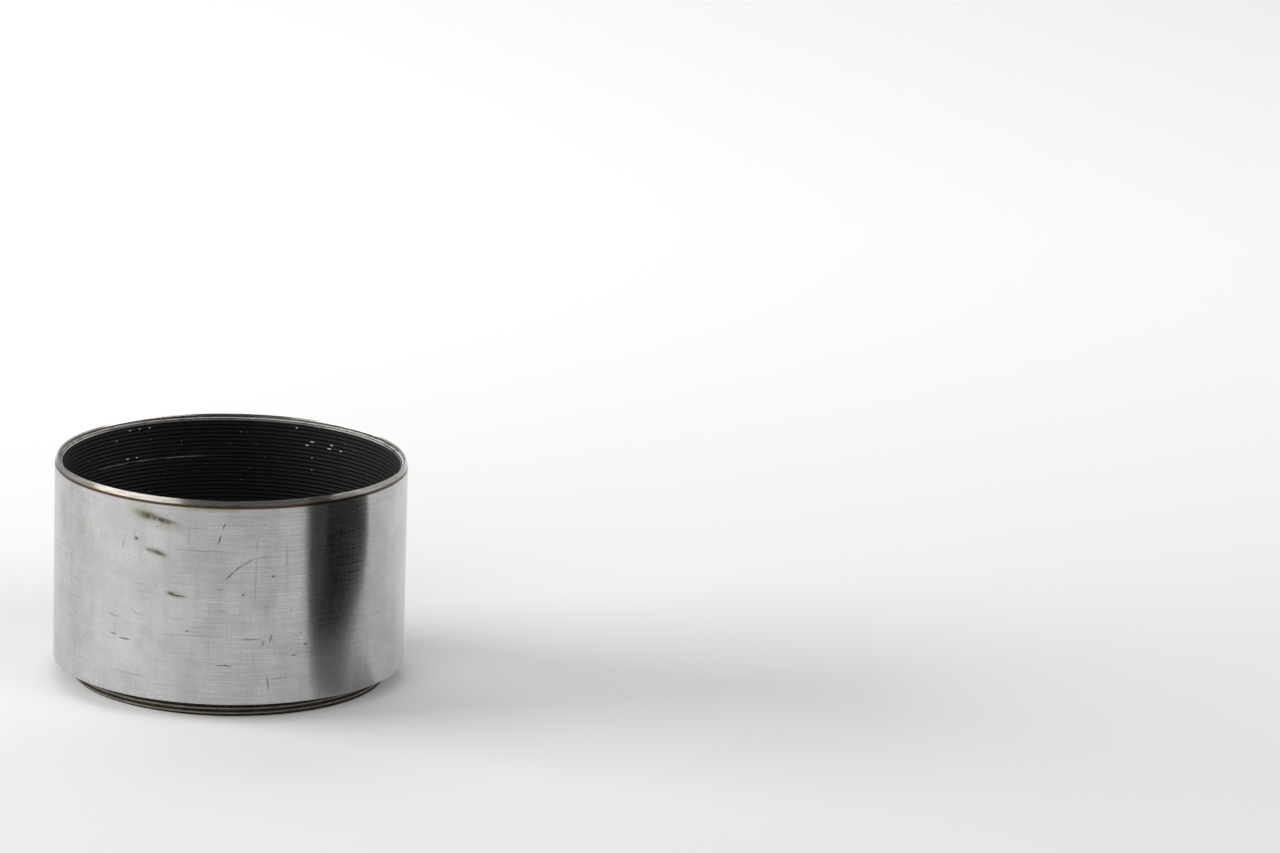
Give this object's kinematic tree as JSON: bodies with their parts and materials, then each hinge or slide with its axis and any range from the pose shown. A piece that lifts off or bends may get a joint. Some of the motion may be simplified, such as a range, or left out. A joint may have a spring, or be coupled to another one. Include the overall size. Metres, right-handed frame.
{
  "type": "lens hood",
  "caption": "Cylindrical screw-in lens hood: plated tube, ridged matt-black light-trap liner and a blackened ring with a male filter thread.",
  "frame": {"origin": "centre of the threaded end face, on the hood's axis", "axes": "+Z along the hood's axis, from the threaded end to the open front; the hood is round, so +X and +Y are free"},
  "size_m": [0.058, 0.058, 0.0368],
  "materials": {
    "plated_tube": "satin nickel-chrome plating over brass, brushed round the tube, worn to the brass along the rim",
    "matt_black_liner": "matt black anti-reflection paint on fine turned ridges, rubbed bright on the first crest",
    "blackened_ring": "chemically blackened brass, rubbed grey on the thread's crests"
  },
  "bodies": {
    "root": {"hood_shell": "plated_tube", "baffle_sleeve": "matt_black_liner", "mount_ring": "blackened_ring"}
  },
  "joints": []
}
